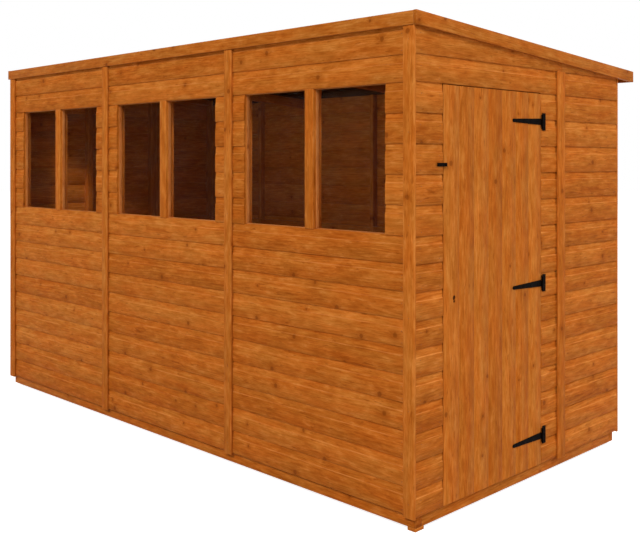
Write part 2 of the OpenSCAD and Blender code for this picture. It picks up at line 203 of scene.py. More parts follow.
def solids(node_name):
    """The separate solids of a CAD node, as meshes with whole faces."""
    bm = bmesh.new()
    bm.from_mesh(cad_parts[node_name].data)
    bmesh.ops.remove_doubles(bm, verts=bm.verts[:], dist=WELD)
    bmesh.ops.dissolve_limit(bm, angle_limit=FLAT, verts=bm.verts[:], edges=bm.edges[:])
    owner = {}
    parts = []
    for seed in bm.verts:
        if seed in owner:
            continue
        part = bmesh.new()
        owner[seed] = (part, part.verts.new(seed.co))
        group = [seed]
        for vert in group:
            for edge in vert.link_edges:
                other = edge.other_vert(vert)
                if other not in owner:
                    owner[other] = (part, part.verts.new(other.co))
                    group.append(other)
        parts.append(part)
    for face in bm.faces:
        part = owner[face.verts[0]][0]
        part.faces.new([owner[vert][1] for vert in face.verts])
    bm.free()
    return parts


def slabs(node_name):
    """(lowest, highest) corner of each solid of a CAD node."""
    boxes = []
    for bm in solids(node_name):
        points = np.array([v.co for v in bm.verts])
        boxes.append((Vector(points.min(0)), Vector(points.max(0))))
        bm.free()
    return sorted(boxes, key=lambda box: tuple(box[0]))


def long_axes(bm):
    """The longest and the second longest axis of a solid."""
    points = np.array([v.co for v in bm.verts])
    axes = np.linalg.eigh(np.cov((points - points.mean(0)).T))[1]
    longest_first = [Vector(axes[:, i]) for i in (2, 1)]
    return [axis if max(axis, key=abs) > 0 else -axis for axis in longest_first]


# ---- Node materials ----------------------------------------------------

def new_tree(name):
    """A new material and its empty node tree."""
    material = bpy.data.materials.new(name)
    material.use_nodes = True
    material.node_tree.nodes.clear()
    return material, material.node_tree


def node(tree, kind, inputs=None, **settings):
    """Adds a shader node. An input is a value, or a socket to link."""
    made = tree.nodes.new("ShaderNode" + kind)
    for key, value in settings.items():
        setattr(made, key, value)
    for key, value in (inputs or {}).items():
        if isinstance(value, bpy.types.NodeSocket):
            tree.links.new(value, made.inputs[key])
        else:
            made.inputs[key].default_value = value
    return made


def calc(tree, operation, a, b=0.0, clamp=False):
    """One step of arithmetic on numbers."""
    return node(tree, "Math", {0: a, 1: b}, operation=operation, use_clamp=clamp).outputs[0]


def vector_calc(tree, operation, a, b):
    """One step of arithmetic on vectors."""
    return node(tree, "VectorMath", {0: a, 1: b}, operation=operation).outputs[0]


def blend_colours(tree, factor, a, b, mode="MIX"):
    """Colour a with a share of colour b."""
    return node(tree, "Mix", {0: factor, 6: a, 7: b}, data_type="RGBA",
                blend_type=mode).outputs[2]


def lay_over(tree, colour, mask, share, over):
    """A colour with a share of another laid over it where a mask is."""
    return blend_colours(tree, calc(tree, "MULTIPLY", mask, share), colour, over)


def spread(tree, value, from_low, from_high, to_low=0.0, to_high=1.0):
    """Runs one range smoothly into another, and stops at its ends."""
    inputs = {0: value, 1: from_low, 2: from_high, 3: to_low, 4: to_high}
    return node(tree, "MapRange", inputs, interpolation_type="SMOOTHSTEP").outputs[0]


def speckle(tree, place, scale, detail=2.0, roughness=0.5):
    """Noise with so many cells to a metre."""
    inputs = {"Vector": place, "Scale": scale, "Detail": detail, "Roughness": roughness}
    return node(tree, "TexNoise", inputs)


def srgb(red, green, blue):
    """A linear colour from its eight-bit display values."""
    shares = [value / 255 for value in (red, green, blue)]
    linear = [s / 12.92 if s <= 0.04045 else ((s + 0.055) / 1.055) ** 2.4 for s in shares]
    return (*linear, 1.0)


def close_tree(tree, shader):
    """Links a shader to the material's output."""
    node(tree, "OutputMaterial", {"Surface": shader})


def ramp(tree, value, stops):
    """A colour that runs through (place, colour) stops."""
    made = node(tree, "ValToRGB", {0: value})
    elements = made.color_ramp.elements
    for place, colour in stops[1:-1]:
        elements.new(place).color = colour
    elements[0].position, elements[0].color = stops[0]
    elements[-1].position, elements[-1].color = stops[-1]
    return made.outputs[0]


def grained_noise(tree, grain, along, across, detail=3.0):
    """Noise drawn out along the grain: cells to a metre along it and across it."""
    place = vector_calc(tree, "MULTIPLY", grain, (along, across, across))
    return speckle(tree, place, 1.0, detail, 0.6).outputs["Fac"]


PALE = srgb(210, 136, 70)
FLECK = srgb(132, 60, 4)
KNOT = srgb(122, 54, 6)
REDDER = (1.04, 0.94, 0.8, 1)
YELLOWER = (0.97, 1.05, 1.12, 1)

# Cells to a metre, of which a share holds no knot, and the knots' radii in cells
KNOT_CELLS = 5.5
KNOT_FREE = 0.68
KNOT_RADII = (0.03, 0.065)


def knots(tree, grain):
    """Where a knot is, and the halo in which the rings part around it."""
    cells = node(tree, "TexVoronoi", {"Vector": grain, "Scale": KNOT_CELLS},
                 voronoi_dimensions="2D")
    chance = node(tree, "SeparateColor", {0: cells.outputs["Color"]})
    present = calc(tree, "GREATER_THAN", chance.outputs[0], KNOT_FREE)
    radius = node(tree, "MapRange", {0: chance.outputs[1], 3: KNOT_RADII[0],
                                     4: KNOT_RADII[1]}).outputs[0]
    ragged = spread(tree, speckle(tree, grain, 110.0, 2.0).outputs["Fac"], 0.2, 0.8, -0.012, 0.012)
    distance = calc(tree, "ADD", cells.outputs["Distance"], ragged)
    radii_out = calc(tree, "DIVIDE", distance, radius)
    knot = calc(tree, "MULTIPLY", spread(tree, radii_out, 1.4, 0.8), present)
    halo = calc(tree, "MULTIPLY", spread(tree, radii_out, 4.5, 1.0), present)
    return knot, halo


def growth_rings(tree, grain, halo):
    """Rings around a pith that wanders along the board: cathedral figure on its faces."""
    stretch = vector_calc(tree, "MULTIPLY", grain, (1.3, 4.0, 4.0))
    wander = speckle(tree, stretch, 1.0, 2.0).outputs["Color"]
    wander = vector_calc(tree, "SUBTRACT", wander, (0.5, 0.5, 0.5))
    wander = vector_calc(tree, "MULTIPLY", wander, (0.0, 0.05, 0.05))
    parted = node(tree, "CombineXYZ", {1: calc(tree, "MULTIPLY", halo, 0.012)}).outputs[0]
    place = vector_calc(tree, "ADD", vector_calc(tree, "ADD", grain, wander), parted)
    rings = node(tree, "TexWave", {"Vector": place, "Scale": 62.0, "Distortion": 2.0,
                                   "Detail": 2.0, "Detail Scale": 1.0},
                 wave_type="RINGS", rings_direction="X", wave_profile="SIN").outputs["Fac"]
    return spread(tree, rings, 0.3, 1.0)


def board_value(tree, name):
    """A number that the timbers' meshes carry."""
    return node(tree, "Attribute", attribute_name=name).outputs["Fac"]


def stain_lightness(tree, late_wood, streaks, fibres, clouds, patches):
    """How light the stain is, from 0 to 1, with a tone for each board."""
    light = calc(tree, "SUBTRACT", 0.58, calc(tree, "MULTIPLY", late_wood, 0.14))
    for part, share in ((streaks, 0.18), (fibres, 0.1), (clouds, 0.13), (patches, 0.16)):
        light = calc(tree, "ADD", light, spread(tree, part, 0.25, 0.75, -share, share))
    tone = spread(tree, board_value(tree, "tone"), 0.0, 1.0, -0.1, 0.1)
    return calc(tree, "ADD", light, tone, clamp=True)


def wood_relief(tree, late_wood, fibres, knot):
    """A fine relief in which late wood and fibres stand up and knots sink."""
    height = calc(tree, "MULTIPLY", late_wood, 0.5)
    height = calc(tree, "ADD", height, calc(tree, "MULTIPLY", fibres, 0.5))
    height = calc(tree, "SUBTRACT", height, calc(tree, "MULTIPLY", knot, 0.4))
    return node(tree, "Bump", {"Strength": 0.45, "Distance": 0.5 * MM, "Height": height})


def stained_wood(name, light, middle, dark, shade=1.0):
    """Softwood under a thin stain: rings, fibres, knots, pale arrises of worn stain and painted
    highlight, a tone for each board.
    """
    material, tree = new_tree(name)
    grain = node(tree, "Attribute", attribute_name="grain").outputs["Vector"]
    apart = vector_calc(tree, "ADD", grain, (3.0, 7.0, 5.0))
    knot, halo = knots(tree, grain)
    late_wood = growth_rings(tree, grain, halo)

    # Streaks and fibres along the grain, and clouds where the stain took more or less
    streaks = grained_noise(tree, grain, 8.0, 110.0)
    fibres = grained_noise(tree, grain, 30.0, 330.0)
    clouds = grained_noise(tree, grain, 4.5, 17.0)
    patches = grained_noise(tree, apart, 13.0, 42.0)
    lightness = stain_lightness(tree, late_wood, streaks, fibres, clouds, patches)
    colour = ramp(tree, lightness, ((0.0, dark), (0.5, middle), (1.0, light)))

    # Redder and yellower stretches, then pale dry patches and dark flecks
    hues = grained_noise(tree, apart, 3.5, 16.0)
    tint = ramp(tree, spread(tree, hues, 0.3, 0.7), ((0.0, REDDER), (1.0, YELLOWER)))
    colour = blend_colours(tree, 1.0, colour, tint, "MULTIPLY")
    dry = calc(tree, "MULTIPLY", spread(tree, patches, 0.55, 0.8), spread(tree, fibres, 0.3, 0.7))
    colour = lay_over(tree, colour, dry, 0.6, PALE)
    flecks = grained_noise(tree, apart, 17.0, 80.0, 2.0)
    colour = blend_colours(tree, spread(tree, flecks, 0.6, 0.76, 0.0, 0.6), colour, FLECK)

    # Knots in their halos, pale arrises of worn stain and painted highlight, and darker end grain
    colour = lay_over(tree, colour, halo, 0.4, dark)
    colour = lay_over(tree, colour, knot, 0.65, KNOT)
    wear_and_highlight_share = spread(tree, streaks, 0.35, 0.65, 0.1, 0.55)
    colour = lay_over(tree, colour, board_value(tree, "paleness"), wear_and_highlight_share, PALE)
    colour = lay_over(tree, colour, board_value(tree, "end_grain"), 0.25, dark)
    # A darker copy of the stain: a deeper tone for some timbers, and painted shade for the near-black
    # wood
    if shade != 1.0:
        colour = blend_colours(tree, 1.0, colour, (shade, shade, shade, 1), "MULTIPLY")

    relief = wood_relief(tree, late_wood, fibres, knot)
    roughness = spread(tree, fibres, 0.3, 0.7, 0.52, 0.68)
    surface = node(tree, "BsdfPrincipled", {"Base Color": colour, "Roughness": roughness,
                                            "Specular IOR Level": 0.03,
                                            "Normal": relief.outputs[0]})
    close_tree(tree, surface.outputs[0])
    return material


def black_iron(name):
    """Black enamelled iron: a slight orange peel, dulled and browned in places."""
    material, tree = new_tree(name)
    place = node(tree, "TexCoord").outputs["Object"]
    patches = speckle(tree, place, 45.0, 4.0, 0.6).outputs["Fac"]
    peel = speckle(tree, place, 900.0, 2.0).outputs["Fac"]
    paleness = spread(tree, patches, 0.5, 0.8)
    colour = blend_colours(tree, paleness, srgb(6, 2, 1), srgb(16, 7, 3))
    bump = node(tree, "Bump", {"Strength": 0.15, "Distance": 0.15 * MM, "Height": peel})
    surface = node(tree, "BsdfPrincipled", {"Base Color": colour,
                                            "Roughness": spread(tree, patches, 0.3, 0.8, 0.5, 0.75),
                                            "Specular IOR Level": 0.02,
                                            "Normal": bump.outputs[0]})
    close_tree(tree, surface.outputs[0])
    return material


def nail_steel(name):
    """Nail heads that the stain has run over."""
    material, tree = new_tree(name)
    place = node(tree, "TexCoord").outputs["Object"]
    patches = speckle(tree, place, 120.0, 3.0).outputs["Fac"]
    colour = blend_colours(tree, patches, srgb(110, 62, 28), srgb(142, 86, 44))
    surface = node(tree, "BsdfPrincipled", {"Base Color": colour, "Metallic": 0.4,
                                            "Roughness": spread(tree, patches, 0.3, 0.7, 0.4, 0.6)})
    close_tree(tree, surface.outputs[0])
    return material


def mineral_felt(name):
    """Roofing felt with a coat of stone granules."""
    material, tree = new_tree(name)
    place = node(tree, "TexCoord").outputs["Object"]
    granules = node(tree, "TexVoronoi", {"Vector": place, "Scale": 700.0})
    clouds = speckle(tree, place, 2.5, 4.0, 0.6).outputs["Fac"]
    grey = node(tree, "SeparateColor", {0: granules.outputs["Color"]}).outputs[0]
    colour = blend_colours(tree, grey, srgb(58, 60, 58), srgb(104, 106, 102))
    colour = blend_colours(tree, spread(tree, clouds, 0.3, 0.75, 0.0, 0.45), colour,
                           srgb(70, 68, 62))
    bump = node(tree, "Bump", {"Strength": 0.6, "Distance": 0.6 * MM,
                               "Height": granules.outputs["Distance"]}, invert=True)
    surface = node(tree, "BsdfPrincipled", {"Base Color": colour, "Roughness": 0.93,
                                            "Specular IOR Level": 0.15,
                                            "Normal": bump.outputs[0]})
    close_tree(tree, surface.outputs[0])
    return material


def window_glass(name):
    """Thin clear glass under a film of dust, with a gloss at low angles."""
    material, tree = new_tree(name)
    place = node(tree, "TexCoord").outputs["Object"]
    dust = speckle(tree, place, 6.0, 4.0, 0.6).outputs["Fac"]
    ripple = speckle(tree, place, 2.2, 1.0).outputs["Fac"]
    clear = node(tree, "BsdfTransparent", {"Color": (0.98, 0.97, 0.96, 1)})
    film = node(tree, "BsdfDiffuse", {"Color": srgb(222, 214, 206)})
    dusty = node(tree, "MixShader", {0: spread(tree, dust, 0.3, 0.75, 0.001, 0.005),
                                     1: clear.outputs[0], 2: film.outputs[0]})
    bump = node(tree, "Bump", {"Strength": 0.1, "Distance": 1.0 * MM, "Height": ripple})
    gloss = node(tree, "BsdfGlossy", {"Roughness": spread(tree, dust, 0.3, 0.8, 0.02, 0.08),
                                      "Normal": bump.outputs[0]})
    # A low index and a threshold keep the gloss to the lowest angles
    grazing = node(tree, "Fresnel", {"IOR": 1.02}).outputs[0]
    share = spread(tree, grazing, 0.01, 1.0)
    surface = node(tree, "MixShader", {0: share, 1: dusty.outputs[0], 2: gloss.outputs[0]})
    close_tree(tree, surface.outputs[0])
    return material


# Light, middle and dark stain
STAINS = (srgb(206, 124, 50), srgb(181, 98, 29), srgb(148, 70, 9))
BEAD_STAINS = (srgb(190, 122, 66), srgb(168, 98, 48), srgb(140, 74, 28))

cladding_wood = stained_wood("cladding_wood", *STAINS)
trim_wood = stained_wood("trim_wood", *STAINS, 0.94)
framing_wood = stained_wood("framing_wood", *STAINS, 0.9)
fascia_wood = stained_wood("fascia_wood", *STAINS, 0.87)
# A near-black copy of the stain: painted shade for the roof's underside, the purlins, the back wall's
# top rail and the keyhole's bottom
painted_shade_wood = stained_wood("painted_shade_wood", *STAINS, 0.14)
bead_wood = stained_wood("bead_wood", *BEAD_STAINS)
iron = black_iron("black_iron")
nail_metal = nail_steel("nail_steel")
felt = mineral_felt("mineral_felt")
glass = window_glass("window_glass")


# ---- Shiplap cladding --------------------------------------------------

# Boards below the windows, beside them and above them
LOWER_ROWS = 10
WINDOW_ROWS = 5
TOP_BOARDS = (118 * MM, 140 * MM)
# The hollow at a board's top: a cove that runs into a scoop, and a groove under the next board
SCOOP_H = 40 * MM
SCOOP_DEPTH = 4.6 * MM
COVE_H = 6 * MM
COVE_DEPTH = 3.2 * MM
COVE_STEPS = 5
GROOVE_H = 7 * MM
GROOVE_DEPTH = 5.8 * MM
# The tongue at its top and the rebate behind its lip
TONGUE_H = 8 * MM
REBATE_H = 9 * MM
JOINT_GAP = 0.3 * MM
ARRIS = 0.8 * MM
# Boards lie up to this far behind the face of the wall
SINK = 0.5 * MM


def board_lines():
    """Heights of the joints between boards, which run level round the whole building."""
    lower_pitch = (sill_z - clad_bottom) / LOWER_ROWS
    window_pitch = (head_z - sill_z) / WINDOW_ROWS
    lines = [clad_bottom + i * lower_pitch for i in range(LOWER_ROWS)]
    lines += [sill_z + i * window_pitch for i in range(WINDOW_ROWS)]
    lines.append(head_z)
    for height in TOP_BOARDS:
        lines.append(lines[-1] + height)
    return lines


def shiplap_outline(height, thick, first, last):
    """A board as (up, out): its lip hangs over the tongue and the scoop of the board below."""
    scoop_top = height - GROOVE_H
    tongue_face = thick - GROOVE_DEPTH
    outline = [(0, thick - ARRIS), (ARRIS, thick)]
    for i in range(COVE_STEPS + 1):
        turn = math.pi / 2 * i / COVE_STEPS
        outline.append((height - SCOOP_H + COVE_H * (1 - math.cos(turn)),
                        thick - COVE_DEPTH * math.sin(turn)))
    outline += [(scoop_top, thick - SCOOP_DEPTH), (scoop_top, tongue_face)]
    if last:
        outline += [(height, tongue_face), (height, 0)]
    else:
        outline += [(height + TONGUE_H, tongue_face), (height + TONGUE_H, ARRIS),
                    (height + TONGUE_H - ARRIS, 0)]
    if first:
        outline.append((0, 0))
    else:
        lip_inside = tongue_face + JOINT_GAP
        outline += [(REBATE_H + ARRIS, 0), (REBATE_H, ARRIS), (REBATE_H, lip_inside),
                    (0, lip_inside)]
    return outline


def shiplap(node_name, name, out):
    """Boards for each slab of a cladding node."""
    timbers = Timbers()
    along = Z.cross(out)
    lines = board_lines()
    for lowest, highest in slabs(node_name):
        size = highest - lowest
        run = abs(size.dot(along))
        thick = abs(size.dot(out))
        corner = (lowest + highest) / 2 - along * run / 2 - out * thick / 2
        rows = [(foot, top) for foot, top in zip(lines, lines[1:])
                if foot > lowest.z - MM and foot < highest.z - MM]
        for foot, top in rows:
            outline = shiplap_outline(top - foot, thick, foot == rows[0][0], foot == rows[-1][0])
            start = Vector((corner.x, corner.y, foot)) - out * rng.uniform(0, SINK)
            board = prism(outline, start, along, Z, out, run)
            cut_above(board, Vector((0, 0, highest.z)), Z)
            cut_above(board, roof_foot, roof_up)
            timbers.add(board, along, Z)
    return timbers.make(name, "building", "cladding", cladding_wood, node_name)


shiplap("front_lower_cladding", "front_lower_boards", -Y)
shiplap("front_upper_cladding", "front_upper_boards", -Y)
shiplap("front_pier_cladding", "front_pier_boards", -Y)
shiplap("back_cladding", "back_boards", Y)
shiplap("left_end_cladding", "left_end_boards", -X)
shiplap("door_side_cladding", "door_side_boards", X)
shiplap("over_door_cladding", "over_door_boards", X)
shiplap("end_panel_cladding", "end_panel_boards", X)


# ---- Tongued boarding: door, floor and roof ----------------------------

TONGUE_W = 4 * MM
BOARD_GAP = 0.2 * MM
DOOR_BOARD_COUNT = 7
DOOR_CHAMFER = 0.4 * MM
FLOOR_BOARD_COUNT = 15
FLOOR_CHAMFER = 1.0 * MM
ROOF_BOARD_COUNT = 33
ROOF_CHAMFER = 1.5 * MM

# The keyhole, near the door's free edge: a round eye with a gap at its foot, and a tail
KEYHOLE_R = 11 * MM
KEYHOLE_GAP = math.radians(60)
KEYHOLE_STEPS = 20
KEYHOLE_DROP = 21 * MM
KEYHOLE_TAIL = 8 * MM
KEYHOLE_DEPTH = 5 * MM
KEYHOLE_FROM_EDGE = 76 * MM
KEYHOLE_Z = 0.972
# Thickness of the near-black plate of painted shade at the keyhole's bottom
SHADE_PLATE_T = 1.5 * MM


def tongued_outline(width, thick, chamfer, last):
    """A board as (across, out), with a tongue, a groove and chamfers that make V joints."""
    third = thick / 3
    outline = [(chamfer, 0), (width - chamfer, 0), (width, chamfer)]
    if not last:
        outline += [(width, third), (width + TONGUE_W, third), (width + TONGUE_W, 2 * third),
                    (width, 2 * third)]
    outline += [(width, thick - chamfer), (width - chamfer, thick), (chamfer, thick),
                (0, thick - chamfer)]
    groove = TONGUE_W + JOINT_GAP
    outline += [(0, 2 * third + JOINT_GAP), (groove, 2 * third + JOINT_GAP),
                (groove, third - JOINT_GAP), (0, third - JOINT_GAP), (0, chamfer)]
    return outline


def boarding(start, along, across, out, length, width, thick, count, chamfer):
    """Boards side by side from one corner, as solids that can still be cut."""
    pitch = width / count
    return [prism(tongued_outline(pitch - BOARD_GAP, thick, chamfer, i == count - 1),
                  start + across * pitch * i, along, across, out, length)
            for i in range(count)]


def hold(bm, name):
    """Puts a solid in the scene for a while, so that a modifier can work on it."""
    mesh = bpy.data.meshes.new(name)
    bm.to_mesh(mesh)
    bm.free()
    held = bpy.data.objects.new(name, mesh)
    bpy.context.scene.collection.objects.link(held)
    return held


def let_go(held):
    """Removes a held solid and its mesh."""
    mesh = held.data
    bpy.data.objects.remove(held)
    bpy.data.meshes.remove(mesh)


def keyhole_prism(centre, length):
    """An eye that is open at its foot, with a tail under it, drawn out towards the door's face."""
    first = (KEYHOLE_GAP - math.pi) / 2
    sweep = 2 * math.pi - KEYHOLE_GAP
    turns = [first + sweep * i / KEYHOLE_STEPS for i in range(KEYHOLE_STEPS + 1)]
    outline = [(KEYHOLE_R * math.cos(turn), KEYHOLE_R * math.sin(turn)) for turn in turns]
    outline += [(-KEYHOLE_TAIL, -KEYHOLE_DROP), (KEYHOLE_TAIL, -KEYHOLE_DROP)]
    return prism(outline, centre - X * KEYHOLE_DEPTH, X, Y, Z, length)


def cut_keyhole(board, centre):
    """Sinks the keyhole into a door board."""
    board_held = hold(board, "keyhole_board")
    cutter_held = hold(keyhole_prism(centre, 2 * KEYHOLE_DEPTH), "keyhole_cutter")
    modifier = board_held.modifiers.new("keyhole", "BOOLEAN")
    modifier.object = cutter_held
    modifier.solver = "EXACT"
    cut = board_held.evaluated_get(bpy.context.evaluated_depsgraph_get())
    result = bmesh.new()
    result.from_mesh(cut.to_mesh())
    cut.to_mesh_clear()
    let_go(cutter_held)
    let_go(board_held)
    return result


def keyhole_shade_plate(centre):
    """A near-black plate at the keyhole's bottom: painted shade in the hole."""
    mesh = bpy.data.meshes.new("keyhole_shade_plate")
    plate = keyhole_prism(centre, SHADE_PLATE_T)
    plate.to_mesh(mesh)
    plate.free()
    finish_piece("keyhole_shade_plate", mesh, "door", "cladding", painted_shade_wood)


def door_boarding():
    """Upright boards, the first of them with the keyhole."""
    lowest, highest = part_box("door_boards")
    size = highest - lowest
    timbers = Timbers()
    boards = boarding(lowest, Z, Y, X, size.z, size.y, size.x, DOOR_BOARD_COUNT, DOOR_CHAMFER)
    keyhole = Vector((highest.x, lowest.y + KEYHOLE_FROM_EDGE, KEYHOLE_Z))
    boards[0] = cut_keyhole(boards[0], keyhole)
    for board in boards:
        timbers.add(board, Z, Y)
    timbers.make("door_boarding", "door", "cladding", trim_wood, "door_boards")
    # The keyhole's bottom gets a near-black plate: painted shade
    keyhole_shade_plate(keyhole)


def floor_boarding():
    """Boards along the floor."""
    lowest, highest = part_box("floor_boards")
    size = highest - lowest
    timbers = Timbers()
    for board in boarding(lowest, X, Y, Z, size.x, size.y, size.z, FLOOR_BOARD_COUNT,
                          FLOOR_CHAMFER):
        timbers.add(board, X, Y)
    timbers.make("floor_boarding", "building", "framing", framing_wood, "floor_boards")


def roof_boarding():
    """Boards down the slope of the roof."""
    lowest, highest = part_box("roof_boards")
    timbers = Timbers()
    length = (deck_y1 - deck_y0) / roof_fall.y
    thick = (heights_at("roof_boards", deck_y0)[1] - deck_z0) * roof_up.z
    start = roof_foot + X * highest.x
    for board in boarding(start, roof_fall, -X, roof_up, length, highest.x - lowest.x, thick,
                          ROOF_BOARD_COUNT, ROOF_CHAMFER):
        timbers.add(board, roof_fall, -X)
    # The boards take the near-black stain as painted shade, so the roof's underside reads dark from
    # inside
    timbers.make("roof_boarding", "building", "framing", painted_shade_wood, "roof_boards")


door_boarding()
floor_boarding()
roof_boarding()


# ---- Framing and trim: eased copies of the CAD timbers -----------------

EASE = 1.4 * MM


def eased(node_name, body, slot, material, dark_above=math.inf):
    """A node's timbers with their arrises taken off. Those above a height go in a piece stained near
    black: painted shade.
    """
    timbers = Timbers()
    shaded = Timbers()
    for bm in solids(node_name):
        along, across = long_axes(bm)
        in_shade = min(v.co.z for v in bm.verts) > dark_above
        bmesh.ops.bevel(bm, geom=bm.edges[:], offset=EASE, segments=2, profile=0.5,
                        affect="EDGES", clamp_overlap=True)
        (shaded if in_shade else timbers).add(bm, along, across)
    timbers.make(node_name + "_eased", body, slot, material, node_name)
    if shaded.faces:
        shaded.make(node_name + "_top", body, slot, painted_shade_wood)


TRIM = ("foot_pads", "floor_rim_joists", "floor_cross_joists", "window_jambs",
        "front_joint_strips", "back_joint_strips", "left_end_strip")
PALER_TRIM = ("window_mullions", "front_corner_strips", "back_corner_strips", "right_end_strip")
ROOF_EDGES = ("front_fascia", "back_fascia", "left_barge_board", "right_barge_board")
FRAMING = ("front_studs", "front_rails", "back_studs", "left_end_studs", "left_end_rails",
           "right_end_studs", "right_end_rails", "door_stops", "rafters")
DOOR_FRAMING = ("door_ledges", "door_braces")

for trim_node in TRIM:
    eased(trim_node, "building", "trim", trim_wood)
for trim_node in PALER_TRIM:
    eased(trim_node, "building", "trim", cladding_wood)
for edge_node in ROOF_EDGES:
    eased(edge_node, "building", "trim", fascia_wood)
for framing_node in FRAMING:
    eased(framing_node, "building", "framing", framing_wood)
# The back wall's top rail, above the head, takes the near-black stain as painted shade
eased("back_rails", "building", "framing", framing_wood, head_z)
# The purlins take the near-black stain as painted shade
eased("purlins", "building", "framing", painted_shade_wood)
for door_node in DOOR_FRAMING:
    eased(door_node, "door", "framing", framing_wood)


# ---- Glazing beads -----------------------------------------------------

STOP_R = 3 * MM
STOP_STEPS = 5
BEAD_W = 3 * MM
BEAD_D = 16 * MM
BEAD_EASE = 1.0 * MM


def stop_outline():
    """A quarter round with its square corner at the joint of glass and frame."""
    turns = [math.pi / 2 * i / STOP_STEPS for i in range(STOP_STEPS + 1)]
    return [(0, 0)] + [(STOP_R * math.cos(turn), STOP_R * math.sin(turn)) for turn in turns]


def bead_outline():
    """A flat bead with its outer arris taken off."""
    return [(0, 0), (BEAD_W, 0), (BEAD_W, BEAD_D - BEAD_EASE), (BEAD_W - BEAD_EASE, BEAD_D),
            (0, BEAD_D)]


def line_panes(name, outline, out, material):
    """Runs an outline round each pane, on the side that out looks to."""
    timbers = Timbers()
    for lowest, highest in slabs("window_glass"):
        width = highest.x - lowest.x
        height = highest.z - lowest.z
        y = highest.y if out.y > 0 else lowest.y
        low_left = Vector((lowest.x, y, lowest.z))
        top_left = Vector((lowest.x, y, highest.z))
        low_right = Vector((highest.x, y, lowest.z))
        timbers.add(prism(outline, low_left, X, Z, out, width), X, Z)
        timbers.add(prism(outline, top_left, X, -Z, out, width), X, Z)
        timbers.add(prism(outline, low_left, Z, X, out, height), Z, X)
        timbers.add(prism(outline, low_right, Z, -X, out, height), Z, X)
    timbers.make(name, "building", "trim", material)


line_panes("glazing_stops", stop_outline(), Y, trim_wood)
line_panes("glazing_beads", bead_outline(), -Y, bead_wood)


# ---- Roofing felt ------------------------------------------------------

FELT_T = 2.4 * MM
FELT_LAP = 75 * MM
# Height of the felt's slight waves, and how many there are to a metre
FELT_WAVE = 0.5 * MM
FELT_WAVES_X = 3
FELT_WAVES_Y = 5
FELT_STEPS_X = 90
FELT_STEPS_Y = 24


def rim_of(rows):
    """The points round the edge of a sheet, in order."""
    return (rows[0] + [row[-1] for row in rows[1:]] + rows[-1][-2::-1]
            + [row[0] for row in rows[-2:0:-1]])


def felt_rows(bm, y0, y1, lift_from):
    """Rows of points on top of a sheet and under it. Past lift_from the sheet rises."""
    lowest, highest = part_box("roof_felt")
    tops = []
    feet = []
    for j in range(FELT_STEPS_Y + 1):
        y = y0 + (y1 - y0) * j / FELT_STEPS_Y
        share = min(1.0, max(0.0, (y - lift_from) / (FELT_LAP / 2)))
        base = felt_foot(y) + FELT_T * share * share * (3 - 2 * share)
        top_row = []
        foot_row = []
        for i in range(FELT_STEPS_X + 1):
            x = lowest.x + (highest.x - lowest.x) * i / FELT_STEPS_X
            wave = FELT_WAVE * noise.noise(Vector((x * FELT_WAVES_X, y * FELT_WAVES_Y, y0)))
            top_row.append(bm.verts.new((x, y, base + FELT_T + wave)))
            foot_row.append(bm.verts.new((x, y, base)))
        tops.append(top_row)
        feet.append(foot_row)
    return tops, feet


def felt_sheet(bm, y0, y1, lift_from=math.inf):
    """One sheet along the roof. Past lift_from it lies over the sheet below it."""
    tops, feet = felt_rows(bm, y0, y1, lift_from)
    for j in range(FELT_STEPS_Y):
        for i in range(FELT_STEPS_X):
            bm.faces.new((tops[j][i], tops[j][i + 1], tops[j + 1][i + 1], tops[j + 1][i]))
            bm.faces.new((feet[j][i], feet[j + 1][i], feet[j + 1][i + 1], feet[j][i + 1]))
    rim = rim_of(tops)
    rim_feet = rim_of(feet)
    for i, j in around(len(rim)):
        bm.faces.new((rim[i], rim_feet[i], rim_feet[j], rim[j]))


def roof_felt_sheets():
    """Two sheets, the upper one over the lower. Gives the y at which their lap ends."""
    lowest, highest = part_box("roof_felt")
    middle = (lowest.y + highest.y) / 2
    lap_end = middle + FELT_LAP
    bm = bmesh.new()
    felt_sheet(bm, middle, highest.y)
    felt_sheet(bm, lowest.y, lap_end, middle - FELT_LAP / 2)
    bmesh.ops.recalc_face_normals(bm, faces=bm.faces[:])
    mesh = bpy.data.meshes.new("roof_felt_sheets")
    bm.to_mesh(mesh)
    bm.free()
    finish_piece("roof_felt_sheets", mesh, "building", "felt", felt, "roof_felt")
    return lap_end


felt_lap_y = roof_felt_sheets()


# ---- Nails and screws --------------------------------------------------

HEAD_SIDES = 12
# A head's rings from its foot up, as shares of its radius and its height
HEAD_RINGS = ((1.0, -0.2), (1.0, 0.35), (0.78, 0.85), (0.4, 1.0))
DOME_TOP = 1.05
# The cross of a screw: how far its four arms and its middle sink
CROSS_SINK = 1.1
CROSS_MIDDLE = -0.3
CROSS_ARM_EVERY = 3


def add_head(bm, place, out, radius, height, cross):
    """One domed head, with or without a cross sunk into it."""
    side = out.orthogonal().normalized()
    other = out.cross(side)
    rings = []
    for share, rise in HEAD_RINGS:
        crossed = cross and (share, rise) == HEAD_RINGS[-1]
        ring = []
        for i in range(HEAD_SIDES):
            angle = 2 * math.pi * i / HEAD_SIDES
            sink = CROSS_SINK if crossed and i % CROSS_ARM_EVERY == 0 else 0.0
            reach = radius * share
            ring.append(bm.verts.new(place + side * reach * math.cos(angle)
                                     + other * reach * math.sin(angle)
                                     + out * height * (rise - sink)))
        rings.append(ring)
    for inner, outer in zip(rings[1:], rings):
        for i, j in around(HEAD_SIDES):
            bm.faces.new((outer[i], outer[j], inner[j], inner[i]))
    middle = bm.verts.new(place + out * height * (CROSS_MIDDLE if cross else DOME_TOP))
    for i, j in around(HEAD_SIDES):
        bm.faces.new((rings[-1][i], rings[-1][j], middle))
    bm.faces.new(rings[0][::-1])


